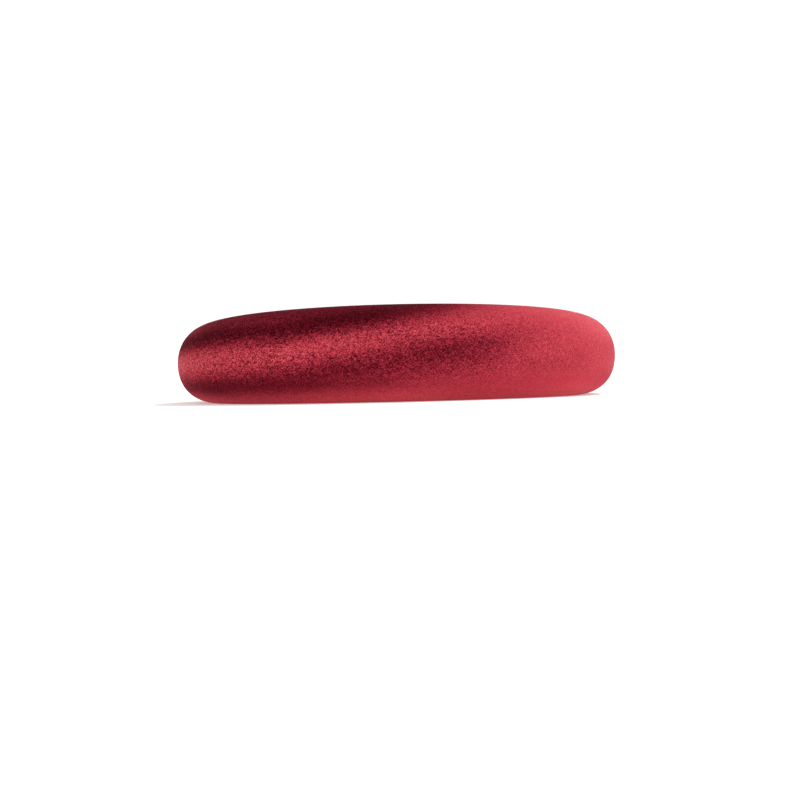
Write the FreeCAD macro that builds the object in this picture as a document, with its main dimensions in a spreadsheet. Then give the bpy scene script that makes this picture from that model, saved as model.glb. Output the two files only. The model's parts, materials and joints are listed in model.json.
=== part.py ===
import FreeCAD
import Part
import math
import os

import Sketcher
from FreeCAD import Placement, Rotation, Vector

# A padded velvet headband. It is drawn in the plane of its own hoop: the centre of the crown's arc is the
# origin, the crown is at -Y, the two legs run towards +Y and the band's width is along Z. A last placement
# stands the hoop on the ground as it balances: on the lower edge of its flanks, the crown just clear of it.
# The hoop flexes most at its crown, so every layer is a right half (x > 0) and its mirror image.

SIZES = [
    # the hoop's line, on the face that touches the head: a half circle, then two legs that curve inwards
    ("crown_radius", 62.5),
    ("leg_radius", 195.0),
    ("leg_sweep", 21.0),
    # half widths of the padded band over the crown, beside the ears and at the tips
    ("half_crown", 17.5),
    ("half_side", 14.2),
    ("half_tip", 6.0),
    # the padded band's widest line, measured outwards from the head, and its dome's height per half width
    ("widest_crown", 6.2),
    ("widest_tip", 2.9),
    ("dome_crown", 0.945),
    ("dome_tip", 0.6),
    ("shoulder_share", 0.6),
    # thicknesses of the layers and the gap between neighbours
    ("lining_thick", 0.9),
    ("cover_thick", 0.8),
    ("glue_thick", 0.2),
    ("core_thick", 1.8),
    ("tape_thick", 0.3),
    ("layer_gap", 0.1),
    # half widths of the flat layers over the crown and at the tips
    ("lining_crown", 11.0),
    ("lining_tip", 3.8),
    ("slot_crown", 3.8),
    ("slot_tip", 1.2),
    ("hem_crown", 10.2),
    ("hem_tip", 2.8),
    ("core_crown", 12.0),
    ("core_tip", 3.5),
    ("tape_crown", 11.0),
    ("tape_tip", 3.2),
    # degrees of the leg's sweep by which each layer stops short of the cover's tip
    ("hollow_setback", 0.35),
    ("foam_setback", 0.4),
    ("channel_setback", 0.8),
    ("core_setback", 0.9),
    ("tape_setback", 1.2),
    ("lining_setback", 1.2),
    ("slot_setback", 2.2),
    ("lining_glue_setback", 2.3),
    ("tip_rounding", 1.6),
]

# Stations of the padded band: degrees round the crown from its middle, then shares of the leg's sweep.
# The first one lies past the middle, so that the band crosses the middle square on; the rest is cut off.
CROWN_STATIONS = (-20, -10, 0, 10, 20, 30, 40, 50, 60, 70, 80, 85, 90)
LEG_STATIONS = (0.08, 0.2, 0.4, 0.6, 0.8, 1.0)
NOSE_STATIONS = (0, 30, 55, 80)
CUTTER = 120.0

COVER_BASE = "(Sizes.lining_thick + Sizes.layer_gap)"
FOAM_BASE = f"({COVER_BASE} + Sizes.cover_thick + Sizes.layer_gap)"
CORE_BASE = f"({FOAM_BASE} + Sizes.glue_thick + Sizes.layer_gap)"
TAPE_BASE = f"({CORE_BASE} + Sizes.core_thick + Sizes.layer_gap)"
TAPE_TOP = f"({TAPE_BASE} + Sizes.tape_thick)"
LEG_CENTRE = "(Sizes.crown_radius - Sizes.leg_radius) * 1 mm"
ROUNDING_ANGLE = "(Sizes.tip_rounding / Sizes.leg_radius * 180 / pi)"

doc = FreeCAD.newDocument("Headband")
sheet = doc.addObject("Spreadsheet::Sheet", "Sizes")


def fill_sheet():
    """The driving dimensions in millimetres and degrees, one alias a row."""
    for row, (alias, size) in enumerate(SIZES, start=1):
        sheet.set(f"A{row}", alias)
        sheet.set(f"B{row}", str(size))
        sheet.setAlias(f"B{row}", alias)
    doc.recompute()


def value(text):
    """What an expression comes to, for drawing a sketch near its solution."""
    return float(sheet.evalExpression(text))


# Sketches

def new_body(name):
    return doc.addObject("PartDesign::Body", name)


def new_sketch(body, role, name):
    """A sketch on one of the body's own origin planes."""
    sketch = body.newObject("Sketcher::SketchObject", name)
    planes = [f for f in body.Origin.OriginFeatures if f.Role == role]
    sketch.AttachmentSupport = [(planes[0], "")]
    sketch.MapMode = "FlatFace"
    return sketch


def arc(centre, radius, start, end):
    """An arc drawn anticlockwise from one angle to another, in radians."""
    circle = Part.Circle(Vector(*centre, 0), Vector(0, 0, 1), radius)
    return Part.ArcOfCircle(circle, start, end)


def line(start, end):
    return Part.LineSegment(Vector(*start, 0), Vector(*end, 0))


def rule(sketch, *words):
    sketch.addConstraint(Sketcher.Constraint(*words))


def dimension(sketch, name, text, *words):
    """A dimension of the sketch, bound to an expression of the sheet's cells."""
    index = sketch.addConstraint(Sketcher.Constraint(*words, value(text)))
    sketch.renameConstraint(index, name)
    sketch.setExpression("Constraints." + name, text)


# The padded band: D-shaped sections, lofted

def crown_section(angle):
    """(hoop radius, half width, widest line, dome height) of the band at an angle round the crown."""
    share = (angle / 90.0) ** 2
    half = f"(Sizes.half_crown - (Sizes.half_crown - Sizes.half_side) * {share:.5f})"
    return "Sizes.crown_radius", half, "Sizes.widest_crown", f"(Sizes.dome_crown * {half})"


def leg_section(share):
    """The same sizes at a share of the leg: its width goes on narrowing at the rate the crown leaves it."""
    run = "(Sizes.leg_radius * Sizes.leg_sweep / (Sizes.crown_radius * 90))"
    slope = f"(2 * (Sizes.half_crown - Sizes.half_side) * {run})"
    bend = f"(Sizes.half_side - Sizes.half_tip - {slope})"
    half = f"(Sizes.half_side - {slope} * {share} - {bend} * {share ** 2:.5f})"
    widest = f"(Sizes.widest_crown - (Sizes.widest_crown - Sizes.widest_tip) * {share ** 2:.5f})"
    dome = f"(Sizes.dome_crown - (Sizes.dome_crown - Sizes.dome_tip) * {share ** 2:.5f})"
    return "Sizes.leg_radius", half, widest, f"({dome} * {half})"


def draw_section(sketch, sizes, inset):
    """A D: flat on the head's side, two corners, two shoulders and a top arc, all tangent, moved in by inset."""
    hoop, half, widest, dome = sizes
    outer_shoulder = f"(Sizes.shoulder_share * {dome})"
    base = f"({hoop} + {COVER_BASE} + {inset})"
    corner = f"({widest} - {COVER_BASE} - {inset})"
    flat = f"({half} - {widest} + {COVER_BASE})"
    shoulder = f"({outer_shoulder} - {inset})"
    top = (f"((({half} - {outer_shoulder}) ^ 2 + {dome} ^ 2 - {outer_shoulder} ^ 2)"
           f" / (2 * ({dome} - {outer_shoulder})) - {inset})")

    x_base, r_corner, y_flat = value(base), value(corner), value(flat)
    r_shoulder, r_top = value(shoulder), value(top)
    x_wide = x_base + r_corner
    y_shoulder = y_flat + r_corner - r_shoulder
    x_top = x_wide - math.sqrt((r_top - r_shoulder) ** 2 - y_shoulder ** 2)
    turn = math.atan2(y_shoulder, x_wide - x_top)
    right = math.pi / 2
    sketch.addGeometry(line((x_base, y_flat), (x_base, -y_flat)))
    sketch.addGeometry(arc((x_wide, -y_flat), r_corner, 2 * right, 3 * right))
    sketch.addGeometry(arc((x_wide, -y_shoulder), r_shoulder, -right, -turn))
    sketch.addGeometry(arc((x_top, 0), r_top, -turn, turn))
    sketch.addGeometry(arc((x_wide, y_shoulder), r_shoulder, turn, right))
    sketch.addGeometry(arc((x_wide, y_flat), r_corner, right, 2 * right))

    joints = [(0, 2, 1, 1), (1, 2, 2, 1), (2, 2, 3, 1), (3, 2, 4, 1), (4, 2, 5, 1), (5, 2, 0, 1)]
    for joint in joints:
        rule(sketch, "Tangent", *joint)
    rule(sketch, "Symmetric", 0, 1, 0, 2, -1)
    rule(sketch, "Equal", 1, 5)
    rule(sketch, "Equal", 2, 4)
    dimension(sketch, "base", base, "DistanceX", -1, 1, 0, 1)
    dimension(sketch, "flat", f"2 * {flat}", "DistanceY", 0, 2, 0, 1)
    dimension(sketch, "corner", corner, "Radius", 1)
    dimension(sketch, "shoulder", shoulder, "Radius", 2)
    dimension(sketch, "top", top, "Radius", 3)
    dimension(sketch, "widest_low", corner, "DistanceX", 0, 2, 1, 2)
    dimension(sketch, "widest_high", corner, "DistanceX", 0, 1, 4, 2)


def section_sketch(body, name, sizes, inset, turn, shift):
    """One section, standing on the hoop's radius at an angle about Z, round the crown's or the leg's centre."""
    sketch = new_sketch(body, "XZ_Plane", name)
    sketch.AttachmentOffset = Placement(Vector(0, 0, 0), Rotation(Vector(0, 1, 0), 0))
    sketch.setExpression("AttachmentOffset.Rotation.Angle", turn)
    sketch.setExpression("AttachmentOffset.Base.x", shift)
    draw_section(sketch, sizes, inset)
    return sketch


def padded_sections(body, inset, setback):
    """The sections of the band from just past the crown's middle to a tip."""
    sketches = []
    for i, angle in enumerate(CROWN_STATIONS):
        sketches.append(section_sketch(body, f"{body.Name}_crown_{i}", crown_section(angle), inset,
                                       f"{angle - 90} * 1 deg", "0 mm"))
    for i, share in enumerate(LEG_STATIONS):
        turn = f"(Sizes.leg_sweep - {setback}) * {share} * 1 deg"
        sketches.append(section_sketch(body, f"{body.Name}_leg_{i}", leg_section(share), inset, turn, LEG_CENTRE))
    return sketches


def loft(body, name, sketches):
    feature = body.newObject("PartDesign::AdditiveLoft", f"{body.Name}_{name}")
    feature.Profile = sketches[0]
    feature.Sections = sketches[1:]
    return feature


def round_tip(body):
    """Closes the band's end with sections that draw in on a quarter circle."""
    sketches = []
    for i, degrees in enumerate(NOSE_STATIONS):
        setback = f"({ROUNDING_ANGLE} * (1 - sin({degrees})))"
        inset = f"(Sizes.tip_rounding * (1 - cos({degrees})))"
        turn = f"(Sizes.leg_sweep - {setback}) * 1 deg"
        sketches.append(section_sketch(body, f"{body.Name}_nose_{i}", leg_section(1.0), inset, turn, LEG_CENTRE))
    loft(body, "nose", sketches).Ruled = True


def cut_left_side(body):
    """Removes what lies on the other side of the crown's middle."""
    sketch = new_sketch(body, "XY_Plane", body.Name + "_left_side")
    corners = [(0, -CUTTER), (0, CUTTER), (-CUTTER, CUTTER), (-CUTTER, -CUTTER)]
    for i, corner in enumerate(corners):
        sketch.addGeometry(line(corner, corners[(i + 1) % 4]))
    for i in range(4):
        rule(sketch, "Coincident", i, 2, (i + 1) % 4, 1)
        rule(sketch, "Vertical" if i % 2 == 0 else "Horizontal", i)
    rule(sketch, "PointOnObject", 0, 1, -2)
    pocket = body.newObject("PartDesign::Pocket", body.Name + "_halved")
    pocket.Profile = sketch
    pocket.SideType = "Symmetric"
    pocket.Type = "ThroughAll"


# The flat layers: strips that follow the hoop, tapered towards the tips

def draw_plan(sketch, inner, outer, setback):
    """Half of the hoop seen along the head's axis, between two distances outwards from the head's side."""
    crown, leg = value("Sizes.crown_radius"), value("Sizes.leg_radius")
    end_text = f"(Sizes.leg_sweep - {setback})"
    near, far, end = value(inner), value(outer), math.radians(value(end_text))
    centre = (crown - leg, 0)
    quarter = math.pi / 2
    sketch.addGeometry(arc((0, 0), crown + near, -quarter, 0))
    sketch.addGeometry(arc(centre, leg + near, 0, end))
    sketch.addGeometry(arc((0, 0), crown + far, -quarter, 0))
    sketch.addGeometry(arc(centre, leg + far, 0, end))
    tip = [(centre[0] + r * math.cos(end), r * math.sin(end)) for r in (leg + near, leg + far)]
    sketch.addGeometry(line(tip[0], tip[1]))
    sketch.addGeometry(line((0, -crown - near), (0, -crown - far)))

    for joint in [(0, 2, 1, 1), (2, 2, 3, 1), (1, 2, 4, 1), (3, 2, 4, 2), (0, 1, 5, 1), (2, 1, 5, 2)]:
        rule(sketch, "Coincident", *joint)
    rule(sketch, "Coincident", 0, 3, -1, 1)
    rule(sketch, "Coincident", 2, 3, -1, 1)
    rule(sketch, "PointOnObject", 1, 3, -1)
    rule(sketch, "Coincident", 3, 3, 1, 3)
    for end_point in [(0, 2), (2, 2)]:
        rule(sketch, "PointOnObject", *end_point, -1)
    for start_point in [(0, 1), (2, 1)]:
        rule(sketch, "PointOnObject", *start_point, -2)
    rule(sketch, "PointOnObject", 1, 3, 4)
    dimension(sketch, "near", f"Sizes.crown_radius + {inner}", "Radius", 0)
    dimension(sketch, "far", f"Sizes.crown_radius + {outer}", "Radius", 2)
    dimension(sketch, "leg_near", f"Sizes.leg_radius + {inner}", "Radius", 1)
    index = sketch.addConstraint(Sketcher.Constraint("Angle", 4, end))
    sketch.renameConstraint(index, "sweep")
    sketch.setExpression("Constraints.sweep", f"{end_text} * 1 deg")


def draw_taper(sketch, wide, narrow, side):
    """What the taper removes, seen from the side: beyond an arc that leaves the crown level, to the tip."""
    start = "Sizes.crown_radius"
    end = "(Sizes.leg_radius * sin(Sizes.leg_sweep))"
    drop = f"({wide} - {narrow})"
    radius = f"((({start} + {end}) ^ 2 + {drop} ^ 2) / (2 * {drop}))"
    x_start, x_end, r = -value(start), value(end), value(radius)
    y_wide, y_narrow = side * value(wide), side * value(narrow)
    centre = (x_start, y_wide - side * r)
    level = side * math.pi / 2
    turned = math.atan2(y_narrow - centre[1], x_end - centre[0])
    sketch.addGeometry(arc(centre, r, min(level, turned), max(level, turned)))
    corners = [(x_end, y_narrow), (x_end, y_wide), (x_start, y_wide)]
    sketch.addGeometry(line(corners[0], corners[1]))
    sketch.addGeometry(line(corners[1], corners[2]))
    tip_end, crown_end = (1, 2) if side > 0 else (2, 1)
    rule(sketch, "Coincident", 0, tip_end, 1, 1)
    rule(sketch, "Coincident", 1, 2, 2, 1)
    rule(sketch, "Coincident", 2, 2, 0, crown_end)
    rule(sketch, "Vertical", 1)
    rule(sketch, "Horizontal", 2)
    low, high = ((-1, 1), (0, crown_end)) if side > 0 else ((0, crown_end), (-1, 1))
    dimension(sketch, "wide", wide, "DistanceY", *low, *high)
    low, high = ((-1, 1), (0, tip_end)) if side > 0 else ((0, tip_end), (-1, 1))
    dimension(sketch, "narrow", narrow, "DistanceY", *low, *high)
    dimension(sketch, "crown", start, "DistanceX", 0, crown_end, -1, 1)
    dimension(sketch, "tip", end, "DistanceX", -1, 1, 0, tip_end)
    dimension(sketch, "bend", radius, "Radius", 0)


def strip(name, inner, outer, wide, narrow, setback):
    """A strip between two distances from the head's side, with half widths over the crown and at the tip."""
    body = new_body(name)
    plan = new_sketch(body, "XY_Plane", name + "_plan")
    draw_plan(plan, inner, outer, setback)
    pad = body.newObject("PartDesign::Pad", name + "_pad")
    pad.Profile = plan
    pad.SideType = "Symmetric"
    pad.setExpression("Length", f"2 * {wide}")
    for side, word in ((1, "upper"), (-1, "lower")):
        taper = new_sketch(body, "YZ_Plane", f"{name}_{word}_edge")
        draw_taper(taper, wide, narrow, side)
        pocket = body.newObject("PartDesign::Pocket", f"{name}_{word}_taper")
        pocket.Profile = taper
        pocket.SideType = "Symmetric"
        pocket.Type = "ThroughAll"
    return body


def cut(name, base, tool):
    """What is left of one solid where another is taken out."""
    result = doc.addObject("Part::Cut", name)
    result.Base = base
    result.Tool = tool
    return result


# The pieces, each as its right half

def core_band():
    """The springy plastic hoop."""
    outer = f"({CORE_BASE} + Sizes.core_thick)"
    return strip("core_band_right", CORE_BASE, outer, "Sizes.core_crown", "Sizes.core_tip", "Sizes.core_setback")


def core_tape():
    """Double-sided tape on the hoop's outer face."""
    return strip("core_tape_right", TAPE_BASE, TAPE_TOP, "Sizes.tape_crown", "Sizes.tape_tip",
                 "Sizes.tape_setback")


def foam_pad():
    """D-shaped sponge with a channel in its flat side for the hoop and the tape."""
    body = new_body("foam_block")
    inset = "(Sizes.cover_thick + Sizes.layer_gap)"
    loft(body, "foam", padded_sections(body, inset, "Sizes.foam_setback"))
    cut_left_side(body)
    channel = strip("foam_channel", COVER_BASE, f"({TAPE_TOP} + Sizes.layer_gap)",
                    "(Sizes.core_crown + Sizes.layer_gap)", "(Sizes.core_tip + Sizes.layer_gap)",
                    "Sizes.channel_setback")
    return cut("foam_pad_right", body, channel)


def velvet_cover():
    """The velvet, a closed skin round the foam but for the slot between its two hems on the head's side."""
    body = new_body("cover_skin")
    loft(body, "skin", padded_sections(body, "0", ROUNDING_ANGLE))
    round_tip(body)
    hollow = new_body("cover_hollow")
    loft(hollow, "inside", padded_sections(hollow, "Sizes.cover_thick", "Sizes.hollow_setback"))
    cut_left_side(body)
    slot = strip("hem_slot", "(Sizes.lining_thick / 2)", CORE_BASE, "Sizes.slot_crown", "Sizes.slot_tip",
                 "Sizes.slot_setback")
    return cut("velvet_cover_right", cut("cover_shell", body, hollow), slot)


def hem_glue():
    """Two strips of glue between the cover's hems and the hoop, one each side of the slot."""
    film = strip("hem_film", FOAM_BASE, f"({FOAM_BASE} + Sizes.glue_thick)", "Sizes.hem_crown", "Sizes.hem_tip",
                 "Sizes.lining_setback")
    gap = strip("hem_film_gap", COVER_BASE, CORE_BASE, "Sizes.slot_crown", "Sizes.slot_tip", "0")
    return cut("hem_glue_right", film, gap)


def lining_glue():
    """The bead that fills the slot and holds the lining to the hoop."""
    return strip("lining_glue_right", COVER_BASE, f"({FOAM_BASE} + Sizes.glue_thick)",
                 "(Sizes.slot_crown - Sizes.layer_gap)", "(Sizes.slot_tip - Sizes.layer_gap)",
                 "Sizes.lining_glue_setback")


def lining_ribbon():
    """The ribbon on the head's side, over hems and slot."""
    return strip("lining_ribbon_right", "0", "Sizes.lining_thick", "Sizes.lining_crown", "Sizes.lining_tip",
                 "Sizes.lining_setback")


def mirror_image(right):
    """The left half of a piece."""
    left = doc.addObject("Part::Mirroring", right.Name.replace("_right", "_left"))
    left.Source = right
    left.Normal = Vector(1, 0, 0)
    return left


def rest_placement(pieces):
    """Rolls the hoop on its convex lower edge until its centre of mass is over the place it stands on, then
    centres its footprint on the origin. All the layers count as equally dense."""
    solids = [solid for piece in pieces for solid in piece.Shape.Solids]
    middle = sum(solid.CenterOfMass.y * solid.Volume for solid in solids) / sum(s.Volume for s in solids)
    radius = value("Sizes.crown_radius + Sizes.widest_crown")
    turn = math.acos(-middle / radius)
    narrowing = value("Sizes.half_crown - Sizes.half_side") * 2 * turn / (math.pi / 2) ** 2
    lean = Rotation(Vector(1, 0, 0), -math.degrees(math.atan(narrowing / (radius * math.sin(turn)))))
    shape = doc.getObject("velvet_cover_right").Shape.copy()
    shape.Placement = Placement(Vector(0, 0, 0), lean)
    box = shape.optimalBoundingBox(False)
    return Placement(Vector(0, -(box.YMin + box.YMax) / 2, -box.ZMin), lean)


def check(objects):
    """Stops if any object failed, or a piece has no sound solid."""
    for item in doc.Objects:
        if any(word in ("Invalid", "Error") for word in item.State):
            raise RuntimeError(f"{item.Name} failed: {item.State}")
    for item in objects:
        if item.Shape.isNull() or not item.Shape.isValid() or not item.Shape.Solids:
            raise RuntimeError(f"{item.Name} has no sound solid")


def main():
    fill_sheet()
    makers = (core_band, core_tape, foam_pad, velvet_cover, hem_glue, lining_glue, lining_ribbon)
    rights = [make() for make in makers]
    doc.recompute()
    check(rights)
    rest = rest_placement(rights)
    for piece in rights:
        piece.Label = piece.Name
        piece.Placement = rest
    lefts = [mirror_image(piece) for piece in rights]
    doc.recompute()
    check(rights + lefts)
    os.makedirs("parts", exist_ok=True)
    for piece in rights + lefts:
        piece.Shape.exportStep(f"parts/{piece.Label}.step")
        box = piece.Shape.optimalBoundingBox(False)
        print(piece.Label, len(piece.Shape.Solids), round(piece.Shape.Volume), box)
    print("rest placement", rest)


main()
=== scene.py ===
import json
import math

import bmesh
import bpy
import numpy as np
from mathutils import Matrix, Vector


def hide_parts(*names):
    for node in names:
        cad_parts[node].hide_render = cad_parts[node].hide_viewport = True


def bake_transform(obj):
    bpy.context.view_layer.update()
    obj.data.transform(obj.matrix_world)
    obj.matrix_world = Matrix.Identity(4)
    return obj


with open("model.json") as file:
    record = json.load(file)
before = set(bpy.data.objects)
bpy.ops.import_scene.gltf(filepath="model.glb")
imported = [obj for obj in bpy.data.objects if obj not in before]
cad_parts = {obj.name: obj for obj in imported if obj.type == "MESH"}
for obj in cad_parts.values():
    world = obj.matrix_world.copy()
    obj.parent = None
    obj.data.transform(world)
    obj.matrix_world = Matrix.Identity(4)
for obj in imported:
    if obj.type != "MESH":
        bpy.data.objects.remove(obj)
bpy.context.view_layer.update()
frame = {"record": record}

# A padded velvet headband: a bent plastic hoop, sponge round it, velvet over that and a ribbon on the head's
# side. Every layer is one continuous mesh from tip to tip, because in life none of them is cut at the crown.
# Lengths are in metres. s is the distance along the hoop's line from the crown's middle, out is the distance
# outwards from the head's side, and up is the distance along the head's axis.

MM = 0.001

# ---- the hoop's line, from the frame's head clamp

CLAMP = frame["record"]["mounts"][0]
CENTRE = np.array(CLAMP["pos_m"])
UP = np.array(CLAMP["axis"])
ACROSS = np.array([1.0, 0.0, 0.0])
BACK = np.cross(UP, ACROSS)
CROWN_RADIUS = CLAMP["dims"]["r_mm"] * MM
LEG_RADIUS = 195 * MM
LEG_SWEEP = math.radians(21)
QUARTER = CROWN_RADIUS * math.pi / 2
LEG_LENGTH = LEG_RADIUS * LEG_SWEEP
REACH = QUARTER + LEG_LENGTH

# ---- the padded band's section

HALF_CROWN, HALF_SIDE, HALF_TIP = 17.7 * MM, 14.3 * MM, 6.0 * MM
WIDEST_CROWN, WIDEST_TIP = 4.7 * MM, 2.9 * MM
DOME_CROWN, DOME_TIP = 1.035, 0.6
OUTER_POWER, INNER_POWER = 2.2, 5.0
COVER_BASE = 1.0 * MM
COVER_THICK = 0.8 * MM
NOSE_LENGTH, NOSE_ROUNDING, NOSE_POWER = 6.0 * MM, 2.4 * MM, 2.6
NOSE_ROWS = 16
OUTLINE_SAMPLES = 1601
NARROWEST = 0.05 * MM


def smooth(x, low, high):
    """0 below low, 1 above high, and smooth between."""
    t = np.clip((x - low) / (high - low), 0, 1)
    return t * t * (3 - 2 * t)


def hoop(s, out, up):
    """Points in the row frame. s, out and up are arrays of one shape."""
    side = np.sign(s)
    leg = np.maximum(np.abs(s) - QUARTER, 0) / LEG_RADIUS
    turn = np.clip(s, -QUARTER, QUARTER) / CROWN_RADIUS
    on_leg = np.abs(s) > QUARTER
    radius = np.where(on_leg, LEG_RADIUS, CROWN_RADIUS) + out
    east = np.where(on_leg, side * np.cos(leg), np.sin(turn))
    north = np.where(on_leg, np.sin(leg), -np.cos(turn))
    centre = np.where(on_leg, side * (CROWN_RADIUS - LEG_RADIUS), 0)
    x, y = centre + radius * east, radius * north
    return CENTRE + x[..., None] * ACROSS + y[..., None] * BACK + up[..., None] * UP


def band_sizes(s):
    """(half width, widest line's distance out, dome's height) of the padded band at s."""
    share = np.abs(s) / QUARTER
    leg = np.clip((np.abs(s) - QUARTER) / LEG_LENGTH, 0, 1)
    slope = 2 * (HALF_CROWN - HALF_SIDE) * LEG_LENGTH / QUARTER
    on_crown = HALF_CROWN - (HALF_CROWN - HALF_SIDE) * share ** 2
    on_leg = HALF_SIDE - slope * leg - (HALF_SIDE - HALF_TIP - slope) * leg ** 2
    half = np.where(share <= 1, on_crown, on_leg)
    widest = WIDEST_CROWN - (WIDEST_CROWN - WIDEST_TIP) * leg ** 2
    dome = (DOME_CROWN - (DOME_CROWN - DOME_TIP) * leg ** 2) * half
    return half, widest, dome


def nose(s):
    """Where the tips round off: the factor on the band's width and the share of its thickness gone."""
    left = np.clip((REACH - np.abs(s)) / NOSE_LENGTH, 0, 1)
    narrow = (1 - (1 - left) ** NOSE_POWER) ** (1 / NOSE_POWER)
    near = np.clip((REACH - np.abs(s)) / NOSE_ROUNDING, 0, 1)
    gone = 1 - np.sqrt(1 - (1 - near) ** 2)
    return narrow, gone


def tapered(s, crown, tip):
    """A flat layer's half width: an arc that leaves the crown level and narrows towards the tip."""
    y = np.where(np.abs(s) < QUARTER, -CROWN_RADIUS * np.cos(s / CROWN_RADIUS),
                 LEG_RADIUS * np.sin((np.abs(s) - QUARTER) / LEG_RADIUS))
    run = (y + CROWN_RADIUS) / (CROWN_RADIUS + LEG_RADIUS * math.sin(LEG_SWEEP))
    return crown - (crown - tip) * run ** 2


def ring(s, inset, count, slot):
    """The band's outline at one s, from one edge of the slot round the dome to the other: count rows of out,
    up and the place round the band, which is 0 at the crest, 1 at the upper and -1 at the lower widest line,
    and 2 or -2 at the middle of the head's side."""
    half, widest, dome = band_sizes(s)
    narrow, gone = nose(s)
    phi = np.linspace(-np.pi, np.pi, OUTLINE_SAMPLES)
    c, sn = np.cos(phi), np.sin(phi)
    a = max(half * narrow - inset, NARROWEST)
    keep = 1 - gone
    rise, sink = (dome - inset) * keep, (widest - COVER_BASE - inset) * keep
    dome_side = c >= 0
    power = np.where(dome_side, 2 / OUTER_POWER, 2 / INNER_POWER)
    out = widest + np.where(dome_side, rise, -sink) * np.abs(c) ** power
    up = a * np.sign(sn) * np.abs(sn) ** power
    up[0] = up[-1] = 0.0
    place = np.where(dome_side, up / a, np.sign(sn) * (2 - np.abs(up) / a))
    place[0], place[-1] = -2, 2
    base = out[0]
    open_side = ~dome_side & (np.abs(up) <= slot)
    keep_rows = ~open_side
    out = np.concatenate([[base], out[keep_rows], [base]])
    up = np.concatenate([[-slot], up[keep_rows], [slot]])
    edge = 2 - min(slot / a, 1)
    place = np.concatenate([[-edge], place[keep_rows], [edge]])
    length = np.concatenate([[0], np.cumsum(np.hypot(np.diff(out), np.diff(up)))])
    even = np.linspace(0, length[-1], count)
    return np.stack([np.interp(even, length, line) for line in (out, up, place)], axis=1)


def rings(stations, inset, count, slot):
    return np.array([ring(s, inset, count, w) for s, w in zip(stations, slot)])


def stations_between(reach, step, fine_end=False):
    """Distances along the hoop from end to end, closer together in the last millimetres if asked."""
    count = 2 * int(round(reach / step)) + 1
    even = np.linspace(-reach, reach, count)
    if not fine_end:
        return even
    inner = even[np.abs(even) < reach - NOSE_LENGTH]
    share = np.linspace(0, 1, NOSE_ROWS + 1)[1:] ** 0.5
    left = np.abs(inner[-1])
    ends = left + (reach - left) * share
    return np.concatenate([-ends[::-1], inner, ends])


# ---- meshes

STRIP_STEP = 1.5 * MM


def new_object(name, points, faces, attributes=()):
    """A smooth mesh. attributes are (name, values per point) pairs, one number or three each."""
    mesh = bpy.data.meshes.new(name)
    mesh.from_pydata([tuple(p) for p in points], [], faces)
    for label, values in attributes:
        values = np.asarray(values, np.float32)
        kind = "FLOAT" if values.ndim == 1 else "FLOAT_VECTOR"
        layer = mesh.attributes.new(label, kind, "POINT")
        layer.data.foreach_set("value" if kind == "FLOAT" else "vector", values.ravel())
    mesh.polygons.foreach_set("use_smooth", [True] * len(mesh.polygons))
    mesh.validate()
    mesh.update()
    made = bpy.data.objects.new(name, mesh)
    bpy.context.scene.collection.objects.link(made)
    return made


def weld(obj):
    """Joins points that lie on each other and turns every face outwards."""
    work = bmesh.new()
    work.from_mesh(obj.data)
    bmesh.ops.remove_doubles(work, verts=work.verts, dist=1e-6)
    bmesh.ops.dissolve_degenerate(work, dist=1e-7, edges=work.edges)
    bmesh.ops.recalc_face_normals(work, faces=work.faces)
    work.to_mesh(obj.data)
    work.free()
    obj.data.polygons.foreach_set("use_smooth", [True] * len(obj.data.polygons))
    return obj


def grid_faces(rows, columns, start=0, closed=False):
    """Quads between neighbouring rows of points, wrapping round each row if it is closed."""
    faces = []
    for i in range(rows - 1):
        for j in range(columns - (0 if closed else 1)):
            k = (j + 1) % columns
            low, high = start + i * columns, start + (i + 1) * columns
            faces.append((low + j, low + k, high + k, high + j))
    return faces


def sweep(name, stations, outline):
    """A closed solid along the hoop: outline holds one closed loop of (out, up) for each station."""
    rows, columns = outline.shape[:2]
    s = np.repeat(stations[:, None], columns, axis=1)
    points = hoop(s, outline[..., 0], outline[..., 1])
    faces = grid_faces(rows, columns, closed=True)
    faces.append(tuple(range(columns))[::-1])
    faces.append(tuple(range((rows - 1) * columns, rows * columns)))
    length = np.cumsum(np.hypot(*np.diff(outline[rows // 2, :, :2], axis=0, prepend=0).T))
    cloth = np.stack([s, np.repeat(length[None], rows, axis=0), outline[..., 0]], axis=-1)
    return weld(new_object(name, points.reshape(-1, 3), faces, [("cloth", cloth.reshape(-1, 3))]))


def rounded_bar(near, far, low, high, radius, per_corner=3):
    """A rectangle with rounded corners, as a closed loop of (out, up)."""
    loop = []
    corners = [(near + radius, low + radius, 180), (far - radius, low + radius, 270),
               (far - radius, high - radius, 0), (near + radius, high - radius, 90)]
    for x, y, start in corners:
        for angle in np.radians(np.linspace(start, start + 90, per_corner)):
            loop.append((x + radius * math.cos(angle), y + radius * math.sin(angle)))
    return loop


def reach_short_of(degrees):
    """The hoop's reach, less an angle of the leg's sweep."""
    return REACH - math.radians(degrees) * LEG_RADIUS


def strip(name, near, far, crown, tip, short, radius):
    """A flat layer between two distances out, with half widths over the crown and at the tip. It stops short
    of the tip by an angle in degrees, and its corners have a radius."""
    stations = stations_between(reach_short_of(short), STRIP_STEP)
    half = tapered(stations, crown, tip)
    outline = np.array([rounded_bar(near, far, -w, w, radius) for w in half])
    return sweep(name, stations, outline)


# ---- the velvet cover

SLOT_CROWN, SLOT_TIP = 3.8 * MM, 1.2 * MM
SLOT_REACH, SLOT_CLOSING = reach_short_of(2.2), 2.0 * MM
COVER_STEP, COVER_COLUMNS = 1.0 * MM, 116
HOLLOW_SHORT = 1.3 * MM
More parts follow.
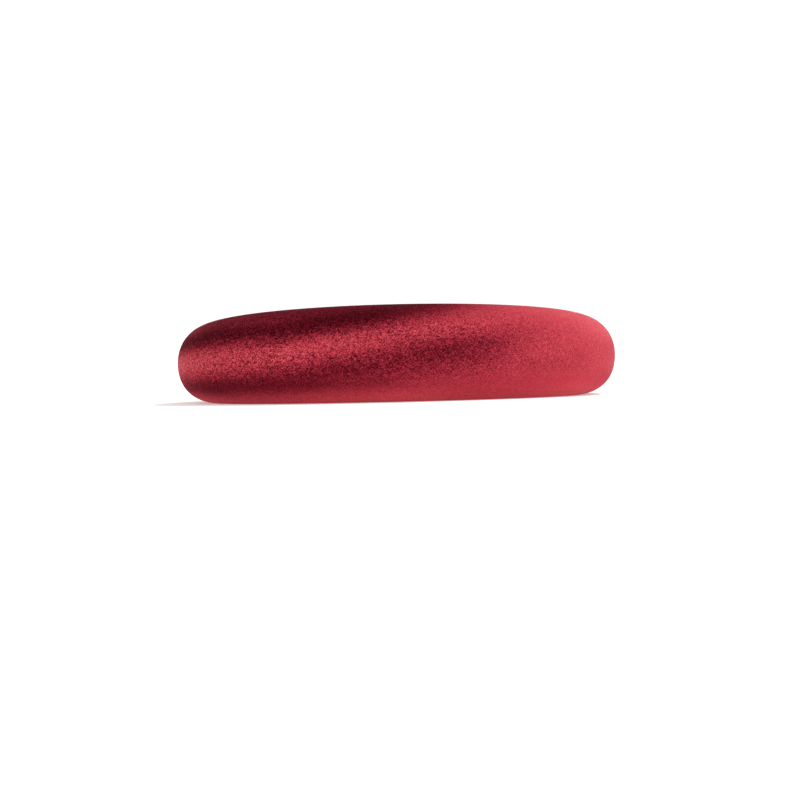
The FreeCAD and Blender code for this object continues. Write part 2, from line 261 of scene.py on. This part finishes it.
# the simulated cloth's mesh, its run, and how much of its unevenness the cover keeps
CLOTH_STEP, CLOTH_COLUMNS, CLOTH_INSET = 2.4 * MM, 60, 0.4 * MM
CLOTH_FRAMES = 20
SWELL_SHARE, SWELL_LOW, SWELL_HIGH = 0.5, -0.2 * MM, 0.4 * MM
GATHER_DEPTH, TIP_FOLD_DEPTH = 0.08 * MM, 0.22 * MM


def slot_width(s):
    """Half the gap between the two hems. It closes past the end of the glue that fills it."""
    closing = 1 - smooth(np.abs(s), SLOT_REACH, SLOT_REACH + SLOT_CLOSING)
    return tapered(s, SLOT_CROWN, SLOT_TIP) * closing


def grid_normals(points):
    """Unit normals of a grid of points, away from the middle of each row."""
    along = np.gradient(points, axis=0)
    around = np.gradient(points, axis=1)
    normal = np.cross(along, around)
    normal /= np.maximum(np.linalg.norm(normal, axis=-1, keepdims=True), 1e-12)
    outwards = points - points.mean(axis=1, keepdims=True)
    sign = np.sign((normal * outwards).sum(axis=(1, 2), keepdims=True))
    return normal * np.where(sign == 0, 1, sign)


def swelling():
    """How far a cloth pulled over the foam bulges outwards: the stations, and a row of bulges for each. The
    cover is simulated as a coarse cloth with a little slack, glued along its hems and blown up from
    inside."""
    stations = stations_between(REACH - 1 * MM, CLOTH_STEP)
    shape = rings(stations, CLOTH_INSET, CLOTH_COLUMNS, slot_width(stations))
    points = hoop(np.repeat(stations[:, None], CLOTH_COLUMNS, axis=1), shape[..., 0], shape[..., 1])
    cloth = new_object("cover_cloth", points.reshape(-1, 3), grid_faces(len(stations), CLOTH_COLUMNS))
    glued = cloth.vertex_groups.new(name="glued")
    held = np.abs(shape[..., 2]).ravel() > 1.5
    near_tip = np.repeat(np.abs(stations) > REACH - 6 * MM, CLOTH_COLUMNS)
    glued.add([int(i) for i in np.nonzero(held | near_tip)[0]], 1.0, "REPLACE")
    modifier = cloth.modifiers.new("cloth", "CLOTH")
    settings = modifier.settings
    settings.quality = 6
    settings.mass = 0.2
    settings.tension_stiffness = settings.compression_stiffness = 12
    settings.bending_stiffness = 0.15
    settings.shrink_min = -0.025
    settings.use_pressure = True
    settings.uniform_pressure_force = 4.0
    settings.vertex_group_mass = "glued"
    settings.effector_weights.gravity = 0
    modifier.point_cache.frame_start, modifier.point_cache.frame_end = 1, CLOTH_FRAMES
    scene = bpy.context.scene
    for number in range(1, CLOTH_FRAMES + 1):
        scene.frame_set(number)
    found = cloth.evaluated_get(bpy.context.evaluated_depsgraph_get())
    moved = np.zeros(len(found.data.vertices) * 3)
    found.data.vertices.foreach_get("co", moved)
    bulge = ((moved.reshape(points.shape) - points) * grid_normals(points)).sum(axis=-1)
    bpy.data.objects.remove(cloth)
    scene.frame_set(1)
    return stations, bulge


def swell_at(s, place, stations, bulge):
    """The simulated cloth's unevenness along the band, on a finer grid and only over the foam's dome."""
    uneven = bulge - np.median(bulge, axis=0)
    share = np.linspace(0, 1, place.shape[1])
    fine = np.array([np.interp(share, np.linspace(0, 1, len(row)), row) for row in uneven])
    fine = np.array([np.interp(s, stations, column) for column in fine.T]).T
    ends = 1 - smooth(np.abs(s), REACH - 20 * MM, REACH - 8 * MM)
    on_dome = 1 - smooth(np.abs(place), 0.65, 0.95)
    return np.clip(SWELL_SHARE * fine, SWELL_LOW, SWELL_HIGH) * on_dome * ends[:, None]


def gathers(s, place):
    """Small folds across the band where the velvet turns onto the head's side, uneven in spacing and depth.
    They only go inwards, so the cover stays in its own space."""
    side = np.where(place > 0, 1.0, -1.0)
    walk = s / MM + 2.1 * np.sin(s / (9 * MM) + side) + 1.3 * np.sin(s / (4.1 * MM) + 2 * side)
    folds = np.cos(walk * 1.25 + side) + 0.6 * np.cos(walk * 0.71 + 2 * side) + 0.4 * np.cos(walk * 2.1)
    depth = 0.65 + 0.35 * np.sin(s / (13 * MM) + 3 * side)
    shown = smooth(np.abs(place), 0.95, 1.2) * (1 - smooth(np.abs(place), 1.25, 1.42))
    return GATHER_DEPTH * (folds * depth - 1.6) * shown


def tip_folds(s, place):
    """The creases where the velvet is folded in over the end of the hoop."""
    rising = smooth(np.abs(s), REACH - 9 * MM, REACH - 4 * MM)
    fading = 1 - smooth(np.abs(s), REACH - 2 * MM, REACH)
    inside = smooth(np.abs(place), 0.9, 1.3)
    return -TIP_FOLD_DEPTH * rising * fading * inside * (0.5 + 0.5 * np.cos(place * 16 + 40 * s / REACH))


def along_hoop(s):
    """-1 at the left flank, 0 at the crown's middle, 1 at the right flank, and beyond on the legs."""
    on_leg = np.sign(s) * np.maximum(np.abs(s) - QUARTER, 0) / (70 * MM)
    return np.sin(np.clip(s, -QUARTER, QUARTER) / CROWN_RADIUS) + on_leg


# The lower lane of painted shade: its height over the crown, its climb to the right and its lowest height, in
# shares of the band's half width. Then the distances from it down to painted light, up to painted light and
# on to the upper lane of painted shade, and how many of these the pattern goes on for.
LANE_MIDDLE, LANE_CLIMB, LANE_LOWEST = -0.22, 0.78, -0.61
BRIGHT_BELOW, BRIGHT_ABOVE, NEXT_LANE = 0.74, 0.57, 0.55
MOST_TURNS = 2.3


def nap_and_painted_light(s, place):
    """How far the pile leans towards the light, painted into the colour as light and shade: 0 is painted
    shade, 1 is painted highlight. Stroking has left two lanes of painted shade that climb across the band and
    fade to the right, and painted light between."""
    u = along_hoop(s)
    lane = np.maximum(LANE_MIDDLE + LANE_CLIMB * u, LANE_LOWEST)
    above = place - lane + 0.03 * np.sin(s / (17 * MM) + 2 * place)
    beyond = np.minimum(1 + (above - BRIGHT_ABOVE) / NEXT_LANE, MOST_TURNS)
    turn = np.where(above < BRIGHT_ABOVE, above / BRIGHT_ABOVE, beyond)
    turn = np.where(above < 0, -above / BRIGHT_BELOW, turn)
    wave = np.where(above < -BRIGHT_BELOW, 1.0, 0.5 - 0.5 * np.cos(np.pi * turn))
    # The levels of painted shade and painted light, both brighter towards the right end, where the sun falls.
    dark = 0.27 + 0.54 * smooth(u, 0.12, 0.80)
    dark = dark + (0.06 + 0.25 * smooth(u, -0.3, 0.8) - dark) * smooth(above, 0.5, 1.0)
    bright = 0.70 + 0.20 * smooth(u, 0.2, 1.0) + 0.10 * smooth(-u, 0.75, 1.0)
    bright = bright - 0.15 * smooth(-above, -0.1, 0.45)
    value = dark + (bright - dark) * wave
    # Painted light: brighter towards the lower edge, against the shade under it.
    value = value + (0.40 - 0.13 * smooth(u, -0.1, 0.5)) * smooth(-place, 0.62, 1.0)
    # A painted highlight on the upper right end, and painted light on the left end.
    value = value + 0.25 * smooth(u, 0.7, 1.0) * smooth(place, 0.1, 0.7) + 0.1 * smooth(-u, 0.8, 1.0)
    far_side = smooth(np.abs(u), 1.3, 1.9)
    return value + (0.55 - value) * 0.7 * far_side


def grain(s, place):
    """How much single tufts show: most in the middle of the left half, little where the pile lies flat."""
    u = along_hoop(s)
    lying = 0.6 * smooth(-place, 0.2, 0.75) + 0.35 * smooth(place, 0.35, 0.9)
    most = (1 + 0.15 * smooth(-u, 0.2, 0.6)) * (1 - 0.35 * smooth(-u, 1.1, 1.7))
    return (1 - 0.57 * smooth(u, -0.05, 0.95)) * (1 - lying) * most


def velvet_cover():
    """A closed skin with its thickness: outside, inside, the two hem edges and two rounded tips. The folds
    only dent its outside, the swelling moves both, and it is pressed flat where it stands on the ground."""
    stations = stations_between(REACH, COVER_STEP, fine_end=True)
    slot = slot_width(stations)
    outer = rings(stations, 0.0, COVER_COLUMNS, slot)
    s = np.repeat(stations[:, None], COVER_COLUMNS, axis=1)
    place = outer[..., 2]
    swell = swell_at(stations, place, *swelling())
    folds = gathers(s, place) + tip_folds(s, place)
    points = hoop(s, outer[..., 0], outer[..., 1])
    normals = grid_normals(points)
    inside = np.abs(stations) < REACH - HOLLOW_SHORT
    inner = rings(stations[inside], COVER_THICK, COVER_COLUMNS, slot[inside])
    inner_points = hoop(s[inside], inner[..., 0], inner[..., 1]) + (normals * swell[..., None])[inside]
    rows, inner_rows = len(stations), int(inside.sum())
    start = rows * COVER_COLUMNS
    faces = grid_faces(rows, COVER_COLUMNS) + grid_faces(inner_rows, COVER_COLUMNS, start)
    first = int(np.argmax(inside))
    for i in range(first, first + inner_rows - 1):
        if slot[i] > 0 or slot[i + 1] > 0:
            for j in (0, COVER_COLUMNS - 1):
                a, b = i * COVER_COLUMNS + j, (i + 1) * COVER_COLUMNS + j
                c = start + (i - first) * COVER_COLUMNS + j
                faces.append((a, b, c + COVER_COLUMNS, c))
    for row in (0, inner_rows - 1):
        faces.append(tuple(start + row * COVER_COLUMNS + j for j in range(COVER_COLUMNS)))
    around = np.cumsum(np.linalg.norm(np.diff(points, axis=1, prepend=points[:, :1]), axis=-1), axis=1)
    around -= around[:, COVER_COLUMNS // 2:COVER_COLUMNS // 2 + 1]
    cloth = np.stack([s, around, np.zeros_like(s)], axis=-1)
    # The pile's lean is painted light and shade, kept on the cover for the velvet's colour.
    lean_and_painted_light, strength = nap_and_painted_light(s, place), grain(s, place)
    layers = [("cloth", np.concatenate([cloth.reshape(-1, 3), cloth[inside].reshape(-1, 3)])),
              ("nap_and_painted_light", np.concatenate([lean_and_painted_light.ravel(), lean_and_painted_light[inside].ravel()])),
              ("grain", np.concatenate([strength.ravel(), strength[inside].ravel()]))]
    pressed = points + normals * (swell + folds)[..., None]
    pressed[..., 2] = np.maximum(pressed[..., 2], 0.0)
    pressed[[0, -1]] = pressed[[0, -1]].mean(axis=1, keepdims=True)
    shut = slot == 0
    pressed[shut, 0] = pressed[shut, -1] = (pressed[shut, 0] + pressed[shut, -1]) / 2
    everything = np.concatenate([pressed.reshape(-1, 3), inner_points.reshape(-1, 3)])
    return weld(new_object("velvet_cover", everything, faces, layers))


# ---- the ribbon on the head's side

LINING_CROWN, LINING_TIP = 11.0 * MM, 3.8 * MM
LINING_THICK = 0.9 * MM
LINING_REACH = reach_short_of(1.2)
LINING_STEP, LINING_COLUMNS = 0.7 * MM, 49
TUFT_HEIGHT, SELVEDGE_SINK = 0.07 * MM, 0.42 * MM


def lining_ribbon():
    """A rough-pile ribbon with a flat selvedge along each edge."""
    stations = stations_between(LINING_REACH, LINING_STEP)
    face = np.linspace(-1, 1, LINING_COLUMNS)
    rng = np.random.default_rng(7)
    tufts = rng.normal(0, 1, (len(stations), len(face)))
    tufts = (tufts + np.roll(tufts, 1, 0) + np.roll(tufts, 1, 1)) / 3
    outline = []
    for i, s in enumerate(stations):
        rounding = 1 - max(0.0, 1 - (LINING_REACH - abs(s)) / (2.2 * MM)) ** 2
        waver = 0.12 * MM * math.sin(s / (7 * MM)) + 0.08 * MM * math.sin(s / (2.9 * MM) + 1)
        half = tapered(s, LINING_CROWN, LINING_TIP) * (0.8 + 0.2 * rounding ** 0.5)
        up = face * half + waver * face ** 2
        edge = smooth(np.abs(face) * half, half - 1.5 * MM, half - 0.7 * MM)
        near = SELVEDGE_SINK * edge + (1 - edge) * TUFT_HEIGHT * tufts[i]
        near = np.clip(near, 0.0, None) + 0.2 * MM * smooth(np.abs(face) * half, half - 0.3 * MM, half)
        top = list(zip(near, up))
        bottom = [(LINING_THICK, up[-1]), (LINING_THICK, 0.0), (LINING_THICK, up[0])]
        outline.append(top + bottom)
    return sweep("lining_ribbon", stations, np.array(outline))


# ---- the layers inside

HEM_BASE, GLUE_THICK = 1.9 * MM, 0.2 * MM
CORE_BASE, CORE_THICK = 2.2 * MM, 1.8 * MM
TAPE_BASE, TAPE_THICK = 4.1 * MM, 0.3 * MM
CORE_CROWN, CORE_TIP = 12.0 * MM, 3.5 * MM
LAYER_GAP = 0.1 * MM
FOAM_GAP, FOAM_SHORT, FOAM_COLUMNS = 0.35 * MM, 2.2 * MM, 70


def core_band():
    return strip("core_band", CORE_BASE, CORE_BASE + CORE_THICK, CORE_CROWN, CORE_TIP, short=0.9,
                 radius=0.6 * MM)


def core_tape():
    return strip("core_tape", TAPE_BASE, TAPE_BASE + TAPE_THICK, crown=11.0 * MM, tip=3.2 * MM, short=1.2,
                 radius=0.08 * MM)


def lining_glue():
    return strip("lining_glue", COVER_BASE, HEM_BASE + GLUE_THICK, SLOT_CROWN - LAYER_GAP,
                 SLOT_TIP - LAYER_GAP, short=2.3, radius=0.3 * MM)


def hem_glue():
    """Two strips of glue, one under each hem."""
    stations = stations_between(LINING_REACH, STRIP_STEP)
    edge, gap = tapered(stations, 10.2 * MM, 2.8 * MM), tapered(stations, SLOT_CROWN, SLOT_TIP)
    bars = []
    for side in (-1, 1):
        loops = [rounded_bar(HEM_BASE, HEM_BASE + GLUE_THICK, *sorted((side * g, side * e)), 0.06 * MM)
                 for g, e in zip(gap, edge)]
        bars.append(sweep("hem_glue", stations, np.array(loops)))
    with bpy.context.temp_override(active_object=bars[0], selected_editable_objects=bars):
        bpy.ops.object.join()
    return bars[0]


def foam_pad():
    """D-shaped sponge with a channel in its flat side, where the hoop and its tape lie."""
    stations = stations_between(REACH - FOAM_SHORT, STRIP_STEP)
    channel = tapered(stations, CORE_CROWN + LAYER_GAP, CORE_TIP + LAYER_GAP)
    shape = rings(stations, COVER_THICK + FOAM_GAP, FOAM_COLUMNS, channel)
    top = TAPE_BASE + TAPE_THICK + LAYER_GAP
    outline = []
    for loop, width in zip(shape, channel):
        rows = [tuple(p) for p in loop[:, :2]]
        outline.append(rows + [(top, width), (top, 0.0), (top, -width)])
    return sweep("foam_pad", stations, np.array(outline))


# ---- materials

def node(tree, kind, inputs=(), **settings):
    """A shader node. inputs are values or other nodes' outputs, by the socket's name or number."""
    made = tree.nodes.new("ShaderNode" + kind)
    for key, value in settings.items():
        setattr(made, key, value)
    for key, value in dict(inputs).items():
        if isinstance(value, bpy.types.NodeSocket):
            tree.links.new(value, made.inputs[key])
        else:
            made.inputs[key].default_value = value
    return made


def rest_place(tree):
    """Coordinates that stay with the cloth when the hoop opens."""
    return node(tree, "Attribute", attribute_name="cloth").outputs["Vector"]


def texture(tree, where, scale, detail=2.0, roughness=0.6, stretch=(1, 1, 1)):
    moved = node(tree, "Mapping", {"Vector": where, "Scale": stretch})
    return node(tree, "TexNoise", {"Vector": moved.outputs[0], "Scale": scale, "Detail": detail,
                                   "Roughness": roughness}).outputs["Fac"]


def spread(tree, value, low, high, to_low=0.0, to_high=1.0):
    return node(tree, "MapRange", {0: value, 1: low, 2: high, 3: to_low, 4: to_high}).outputs[0]


def math_node(tree, operation, a, b=0.0):
    return node(tree, "Math", {0: a, 1: b}, operation=operation).outputs[0]


def total(tree, *values):
    result = values[0]
    for value in values[1:]:
        result = math_node(tree, "ADD", result, value)
    return result


def ramp(tree, value, stops):
    """A colour ramp through (position, linear colour) stops."""
    made = node(tree, "ValToRGB", {"Fac": value})
    elements = made.color_ramp.elements
    while len(elements) < len(stops):
        elements.new(0.5)
    for element, (position, colour) in zip(elements, stops):
        element.position = position
        element.color = (*colour, 1)
    return made.outputs["Color"]


def mixed(tree, share, first, second):
    """Two colours mixed. The colour sockets of a Mix node are its sixth and seventh."""
    return node(tree, "Mix", {0: share, 6: first, 7: second}, data_type="RGBA").outputs[2]


def surface(name, build):
    """A material whose Principled shader takes the inputs that build(tree) returns."""
    material = bpy.data.materials.new(name)
    material.use_nodes = True
    tree = material.node_tree
    shader = next(n for n in tree.nodes if n.type == "BSDF_PRINCIPLED")
    for key, value in build(tree).items():
        if isinstance(value, bpy.types.NodeSocket):
            tree.links.new(value, shader.inputs[key])
        else:
            shader.inputs[key].default_value = value
    return material


def bump(tree, height, strength, distance):
    made = node(tree, "Bump", {"Height": height, "Strength": strength, "Distance": distance})
    return made.outputs["Normal"]


def ribs(tree, where, degrees):
    """Fine parallel ribs, turned on the cloth."""
    turned = node(tree, "Mapping", {"Vector": where, "Rotation": (0, 0, math.radians(degrees))}).outputs[0]
    return node(tree, "TexWave", {"Vector": turned, "Scale": 390, "Distortion": 1.5, "Detail": 1.0,
                                  "Detail Scale": 2.0}).outputs["Fac"]


def velvet(tree):
    """Short pile: colour by the pile's lean, which is painted light and shade, with the grain of single tufts
    and a faint twill under them.
    """
    where = rest_place(tree)
    lean_and_painted_light = node(tree, "Attribute", attribute_name="nap_and_painted_light").outputs["Fac"]
    strength = node(tree, "Attribute", attribute_name="grain").outputs["Fac"]
    cells = node(tree, "TexVoronoi", {"Vector": where, "Scale": 3600}).outputs["Color"]
    tufts = node(tree, "SeparateColor", {0: cells}).outputs[0]
    clumps = texture(tree, where, 700, 2, 0.6)
    strokes = texture(tree, where, 46, 3, 0.55, (0.45, 1, 1))
    twill = math_node(tree, "MULTIPLY", ribs(tree, where, -28), ribs(tree, where, 28))
    strength = math_node(tree, "MULTIPLY", strength, spread(tree, lean_and_painted_light, 0.25, 0.75, 0.78, 1.2))
    speckle = total(tree, spread(tree, tufts, 0, 1, -0.36, 0.36),
                    spread(tree, clumps, 0.3, 0.7, -0.12, 0.12))
    value = total(tree, lean_and_painted_light, spread(tree, strokes, 0.25, 0.75, -0.10, 0.10),
                  math_node(tree, "MULTIPLY", speckle, strength), spread(tree, twill, 0, 1, -0.05, 0.07))
    # The ramp turns the painted light and shade into colour, from painted shade up to a pinkish painted
    # highlight.
    colour = ramp(tree, spread(tree, value, -0.3, 1.3), [
        (0.0, (0.014, 0.0003, 0.0011)), (0.22, (0.055, 0.0012, 0.0050)), (0.375, (0.150, 0.0065, 0.0155)),
        (0.6, (0.42, 0.032, 0.052)), (0.76, (0.58, 0.060, 0.080)), (1.0, (0.80, 0.15, 0.17))])
    height = total(tree, tufts, math_node(tree, "MULTIPLY", clumps, 0.8),
                   math_node(tree, "MULTIPLY", twill, 0.3))
    return {"Base Color": colour, "Roughness": 0.9, "Specular IOR Level": 0.02,
            "Normal": bump(tree, height, 0.5, 0.25 * MM), "Sheen Roughness": 0.3,
            "Sheen Weight": spread(tree, lean_and_painted_light, 0.3, 1.0, 0.04, 0.40), "Sheen Tint": (1.0, 0.32, 0.36, 1)}


def rough_ribbon(tree):
    """Coarse loops of pile, with painted shade in the gaps and pale flecks of painted highlight where single
    fibres catch the light.
    """
    where = rest_place(tree)
    loops = texture(tree, where, 1100, 3, 0.8)
    clumps = texture(tree, where, 300, 2, 0.6)
    flecks = spread(tree, texture(tree, where, 1700, 2, 0.7), 0.60, 0.70)
    value = total(tree, spread(tree, loops, 0.3, 0.7, 0.0, 0.5), spread(tree, clumps, 0.3, 0.7, 0.0, 0.3))
    # Painted shade in the gaps between the loops, lighter on the loops.
    colour = ramp(tree, value, [(0.0, (0.020, 0.001, 0.003)), (0.45, (0.10, 0.007, 0.014)),
                                (1.0, (0.30, 0.035, 0.050))])
    # Pale flecks of painted highlight.
    pale = mixed(tree, math_node(tree, "MULTIPLY", flecks, 0.55), colour, (0.55, 0.24, 0.26, 1))
    return {"Base Color": pale, "Roughness": 0.95, "Specular IOR Level": 0.1, "Sheen Weight": 0.2,
            "Normal": bump(tree, total(tree, loops, clumps), 0.8, 0.4 * MM)}


def sponge(tree):
    """Open-cell foam: pale, yellowed in patches, pitted with cells, with painted shade in the pits."""
    where = rest_place(tree)
    cells = node(tree, "TexVoronoi", {"Vector": where, "Scale": 900}, feature="DISTANCE_TO_EDGE").outputs[0]
    patches = texture(tree, where, 60, 3)
    colour = ramp(tree, patches, [(0.3, (0.80, 0.74, 0.60)), (0.7, (0.88, 0.85, 0.76))])
    # Painted shade in the grooves along the cells' edges.
    pits = spread(tree, cells, 0.0, 0.25)
    shaded = mixed(tree, pits, (0.45, 0.40, 0.30, 1), colour)
    return {"Base Color": shaded, "Roughness": 0.95, "Subsurface Weight": 0.1,
            "Normal": bump(tree, pits, 0.7, 0.5 * MM)}


def hoop_plastic(tree):
    """Natural polypropylene: milky, with fine drawn lines along the hoop."""
    where = rest_place(tree)
    lines = texture(tree, where, 700, 2, 0.5, (0.04, 1, 1))
    clouds = texture(tree, where, 90, 2)
    colour = ramp(tree, clouds, [(0.3, (0.66, 0.66, 0.63)), (0.7, (0.78, 0.77, 0.73))])
    return {"Base Color": colour, "Roughness": spread(tree, lines, 0.3, 0.7, 0.32, 0.5),
            "Subsurface Weight": 0.15, "Normal": bump(tree, lines, 0.2, 0.05 * MM)}


def paper_tape(tree):
    """Double-sided tape: tissue fibres in clear glue."""
    where = rest_place(tree)
    fibres = texture(tree, where, 650, 3, 0.7, (0.25, 1, 1))
    colour = ramp(tree, fibres, [(0.3, (0.74, 0.68, 0.52)), (0.7, (0.88, 0.86, 0.78))])
    return {"Base Color": colour, "Roughness": 0.6, "Normal": bump(tree, fibres, 0.3, 0.08 * MM)}


def hot_melt(tree):
    """Amber glue, glossy, with small bubbles."""
    where = rest_place(tree)
    bubbles = node(tree, "TexVoronoi", {"Vector": where, "Scale": 420}).outputs["Distance"]
    clouds = texture(tree, where, 120, 2)
    colour = ramp(tree, clouds, [(0.3, (0.60, 0.46, 0.22)), (0.7, (0.76, 0.66, 0.42))])
    return {"Base Color": colour, "Roughness": 0.25, "Transmission Weight": 0.25,
            "Normal": bump(tree, spread(tree, bubbles, 0.0, 0.3), 0.3, 0.1 * MM)}


# ---- the pieces, in place of the frame's halves


def place_piece(piece, slot, finish, *nodes):
    """Gives a piece its finish and lets it stand for both halves of its layer, which are hidden."""
    piece.data.materials.clear()
    piece.data.materials.append(finish)
    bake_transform(piece)
    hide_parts(*nodes)


def both_halves(node_name):
    return [f"{node_name}_{side}" for side in ("left", "right")]


glue = surface("hot_melt_glue", hot_melt)
cover = velvet_cover()
lining = lining_ribbon()
foam = foam_pad()
place_piece(cover, "velvet", surface("red_velvet", velvet), *both_halves("velvet_cover"))
place_piece(lining, "lining", surface("pile_ribbon", rough_ribbon), *both_halves("lining_ribbon"))
place_piece(foam, "foam", surface("sponge", sponge), *both_halves("foam_pad"))
place_piece(core_band(), "core_plastic", surface("hoop_plastic", hoop_plastic), *both_halves("core_band"))
place_piece(core_tape(), "tape", surface("paper_tape", paper_tape), *both_halves("core_tape"))
place_piece(hem_glue(), "glue", glue, *both_halves("hem_glue"))
place_piece(lining_glue(), "glue", glue, *both_halves("lining_glue"))

# ---- the stage: a white floor and surroundings, the sun behind the right shoulder and soft fills

FLOOR_SIZE, FLOOR_GLOW = 60, 0.3
SKY_AS_LIGHT, SKY_AS_SEEN = 0.56, 1.05


def floor():
    bpy.ops.mesh.primitive_plane_add(size=FLOOR_SIZE, location=(0, 0, 0))
    made = bpy.context.active_object
    made.name = "floor"
    material = bpy.data.materials.new("white_floor")
    material.use_nodes = True
    shader = material.node_tree.nodes["Principled BSDF"]
    shader.inputs["Base Color"].default_value = (0.93, 0.93, 0.93, 1)
    shader.inputs["Roughness"].default_value = 1.0
    shader.inputs["Specular IOR Level"].default_value = 0.0
    shader.inputs["Emission Color"].default_value = (1, 1, 1, 1)
    shader.inputs["Emission Strength"].default_value = FLOOR_GLOW
    made.data.materials.append(material)


def surroundings():
    """White where the camera looks past the object, and a softer white as light."""
    world = bpy.data.worlds.new("white")
    bpy.context.scene.world = world
    world.use_nodes = True
    tree = world.node_tree
    seen = node(tree, "LightPath").outputs["Is Camera Ray"]
    strength = spread(tree, seen, 0, 1, SKY_AS_LIGHT, SKY_AS_SEEN)
    background = next(n for n in tree.nodes if n.type == "BACKGROUND")
    background.inputs["Color"].default_value = (1, 1, 1, 1)
    tree.links.new(strength, background.inputs["Strength"])


def lamp(name, kind, azimuth, elevation, power, size, distance=1.5):
    """A soft light towards the headband; azimuth 0 is the crown's side and 90 the right. size is a sun's
    angle in degrees or an area light's width in metres."""
    light = bpy.data.lights.new(name, kind)
    light.energy = power
    if kind == "SUN":
        light.angle = math.radians(size)
    else:
        light.size = size
    made = bpy.data.objects.new(name, light)
    a, e = math.radians(azimuth), math.radians(elevation)
    towards = Vector((math.sin(a) * math.cos(e), -math.cos(a) * math.cos(e), math.sin(e)))
    made.location = Vector(CENTRE) + towards * distance
    made.rotation_euler = towards.to_track_quat("Z", "Y").to_euler()
    bpy.context.scene.collection.objects.link(made)


def camera():
    """Nearly level with the band and far off, through a long lens, rolled a little. It looks at the band from
    just below the hoop's own plane, whichever way the hoop leans."""
    below, distance, roll = math.radians(2.21), 1.6, math.radians(1.36)
    away = (Matrix.Rotation(below, 3, "X") @ Vector(-BACK)).normalized()
    aim = Vector(CENTRE) + Vector((1.0 * MM, 0, -15.0 * MM))
    data = bpy.data.cameras.new("camera")
    data.lens, data.sensor_width = 191, 36
    data.clip_start, data.clip_end = 0.05, 100
    made = bpy.data.objects.new("camera", data)
    made.location = Vector(CENTRE) + away * distance
    facing = (made.location - aim).to_track_quat("Z", "Y").to_matrix().to_4x4()
    made.matrix_world = Matrix.Translation(made.location) @ facing @ Matrix.Rotation(-roll, 4, "Z")
    bpy.context.scene.collection.objects.link(made)
    bpy.context.scene.camera = made


floor()
surroundings()
lamp("key", "SUN", azimuth=118, elevation=57, power=1.95, size=12)
lamp("fill_left", "AREA", azimuth=-50, elevation=30, power=3.0, size=0.9)
lamp("fill_front", "AREA", azimuth=15, elevation=7, power=5.0, size=0.8)
camera()
bpy.context.scene.view_settings.view_transform = "Standard"
